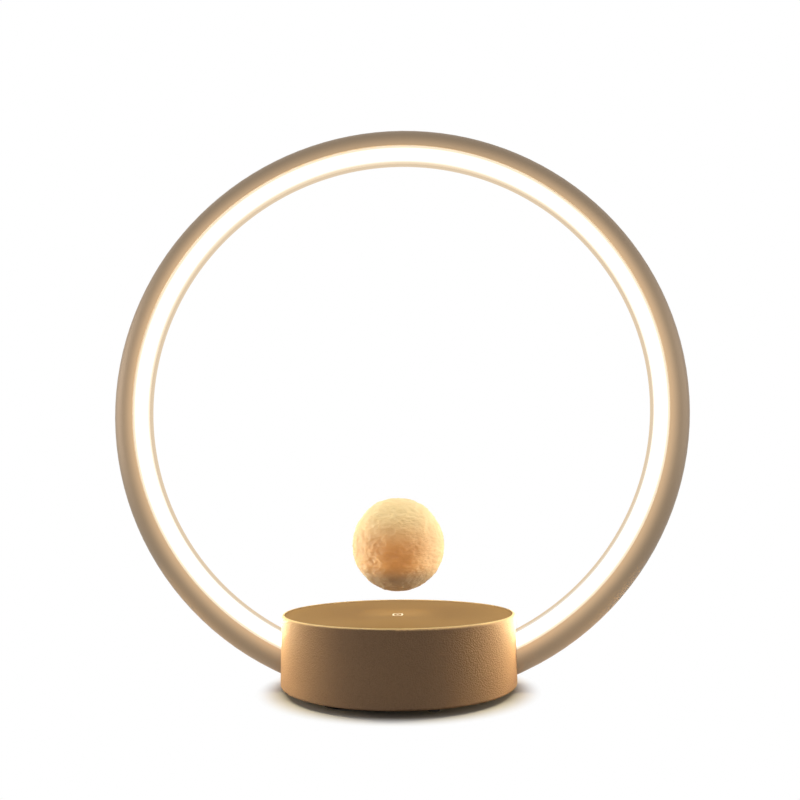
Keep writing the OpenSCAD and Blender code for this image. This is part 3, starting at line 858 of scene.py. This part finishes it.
wear(
    moulded("dark_moulding", shade(52, 47, 42), shade(34, 31, 28), roughness=0.55, grain=0.5 * MM),
    "bottom_cover", "board_header", "power_inlet",
)
wear(
    moulded("pale_moulding", shade(232, 226, 210), shade(212, 204, 184), roughness=0.5, grain=0.6 * MM),
    "coil_bobbins", "led_connectors", "magnet_retainer",
)
wear(
    moulded("chip_package", shade(34, 34, 36), shade(22, 22, 24), roughness=0.4, grain=0.3 * MM),
    "hall_sensors", "driver_chips",
)
wear(
    moulded("blue_sleeves", shade(58, 76, 120), shade(44, 58, 98), roughness=0.35, grain=0.8 * MM),
    "board_parts",
)
wear(
    moulded("foot_rubber", shade(40, 37, 34), shade(26, 24, 22), roughness=0.8, grain=0.35 * MM),
    "foot_pads",
)
wear(
    moulded("red_insulation", shade(168, 52, 42), shade(138, 38, 32), roughness=0.45, grain=0.4 * MM),
    "led_leads", "touch_lead",
)
wear(
    moulded("strip_tape", shade(240, 238, 230), shade(222, 218, 206), roughness=0.6, grain=0.7 * MM),
    "led_strip",
)
wear(
    moulded("phosphor", shade(250, 214, 112), shade(236, 190, 82), roughness=0.4, grain=0.25 * MM),
    "led_chips",
)

# %% [markdown]
# ## Bare metals
# Screws, pillars, nuts, foil and the moon's magnet are bare or plated metal, and the screws that
# show under the drum are blackened. Turning and drawing leave fine lines along one direction, so
# the noise is stretched along it before it drives roughness and bump. A broader noise stains the
# colour.

# %% Metal pieces
ALONG_X = (0.1, 1, 1)
ALONG_Z = (1, 1, 0.1)


def bare_metal(name, colour, darker, roughness, stretch):
    """Metal with fine lines along one direction."""
    material, shader, place = new_finish(name, {"Metallic": 1.0})
    lines = place.stretched(stretch).cloud(size=0.4 * MM, detail=2.0)
    stains = place.cloud(size=6 * MM, detail=3.0)
    drive(
        shader,
        Base_Color=(stains * 0.7).blend(colour, darker),
        Roughness=roughness + 0.2 * lines,
        Normal=lines.bump(depth=0.01 * MM),
    )
    return material


wear(
    bare_metal("zinc_steel", shade(190, 191, 194), shade(150, 150, 152), roughness=0.28, stretch=ALONG_Z),
    "board_screws", "power_board_screws", "retainer_screws", "coil_cores",
)
wear(
    bare_metal("black_steel", shade(54, 52, 50), shade(34, 33, 32), roughness=0.42, stretch=ALONG_Z),
    "cover_screws", "pillar_screws",
)
wear(
    bare_metal("turned_steel", shade(196, 194, 190), shade(158, 155, 150), roughness=0.3, stretch=ALONG_X),
    "ring_end_plugs", "ring_washers", "ring_nuts", "inlet_pin",
)
wear(
    bare_metal("nickel_plate", shade(214, 214, 212), shade(186, 186, 184), roughness=0.16, stretch=ALONG_Z),
    "float_magnet",
)
wear(
    bare_metal("turned_brass", shade(206, 168, 96), shade(172, 134, 70), roughness=0.28, stretch=ALONG_Z),
    "board_pillars", "ring_nipples",
)
wear(
    bare_metal("copper_foil", shade(204, 128, 84), shade(164, 92, 56), roughness=0.35, stretch=ALONG_X),
    "touch_electrode",
)

# %% [markdown]
# ## Magnet, windings and boards
# The pressed ferrite is dull and pitted. The coils are wound with enamelled wire, so their sides
# show turns: a sine of the height makes them. The boards are green mask over copper, and the lines
# between the cells of a pebble pattern stand for tracks.

# %% Ferrite, windings and boards
WIRE_D = 0.45 * MM
TRACK_PITCH = 5 * MM
# Distance from a track's middle where it starts to rise and where it has its full height, in pitches.
TRACK_FOOT = 0.1
TRACK_TOP = 0.06


def ferrite():
    """Dull grey with pits."""
    material, shader, place = new_finish("pressed_ferrite", {"Metallic": 0.3})
    pits = place.cloud(size=0.7 * MM, detail=5.0, rough=0.7)
    drive(
        shader,
        Base_Color=pits.blend(shade(46, 46, 48), shade(88, 86, 84)),
        Roughness=0.6 + 0.3 * pits,
        Normal=pits.bump(depth=0.12 * MM),
    )
    return material


def winding():
    """Enamelled copper wire, one turn over the other."""
    material, shader, place = new_finish("wound_copper", {"Metallic": 0.9, "Coat Weight": 0.6})
    wave = place.axis("Z") * (2 * math.pi / WIRE_D)
    turns = wave.math("SINE", wave, 0.0) * 0.5 + 0.5
    drift = place.cloud(size=4 * MM)
    drive(
        shader,
        Base_Color=(turns * 0.6 + drift * 0.3).blend(shade(112, 56, 28), shade(206, 122, 66)),
        Roughness=0.4 - 0.15 * turns,
        Normal=turns.bump(depth=0.12 * MM),
    )
    return material


def circuit_board():
    """Green mask that rises over the tracks."""
    material, shader, place = new_finish("green_board", {"Coat Weight": 0.3})
    track = place.pebbles(size=TRACK_PITCH, feature="DISTANCE_TO_EDGE").step(TRACK_FOOT, TRACK_TOP)
    weave = place.cloud(size=0.5 * MM)
    drive(
        shader,
        Base_Color=(track * 0.7 + weave * 0.2).blend(shade(20, 82, 50), shade(62, 132, 84)),
        Roughness=0.4 + 0.15 * weave,
        Normal=(track + weave * 0.2).bump(depth=0.03 * MM),
    )
    return material


wear(ferrite(), "ring_magnet")
wear(winding(), "coil_windings")
wear(circuit_board(), "levitation_board", "power_board")
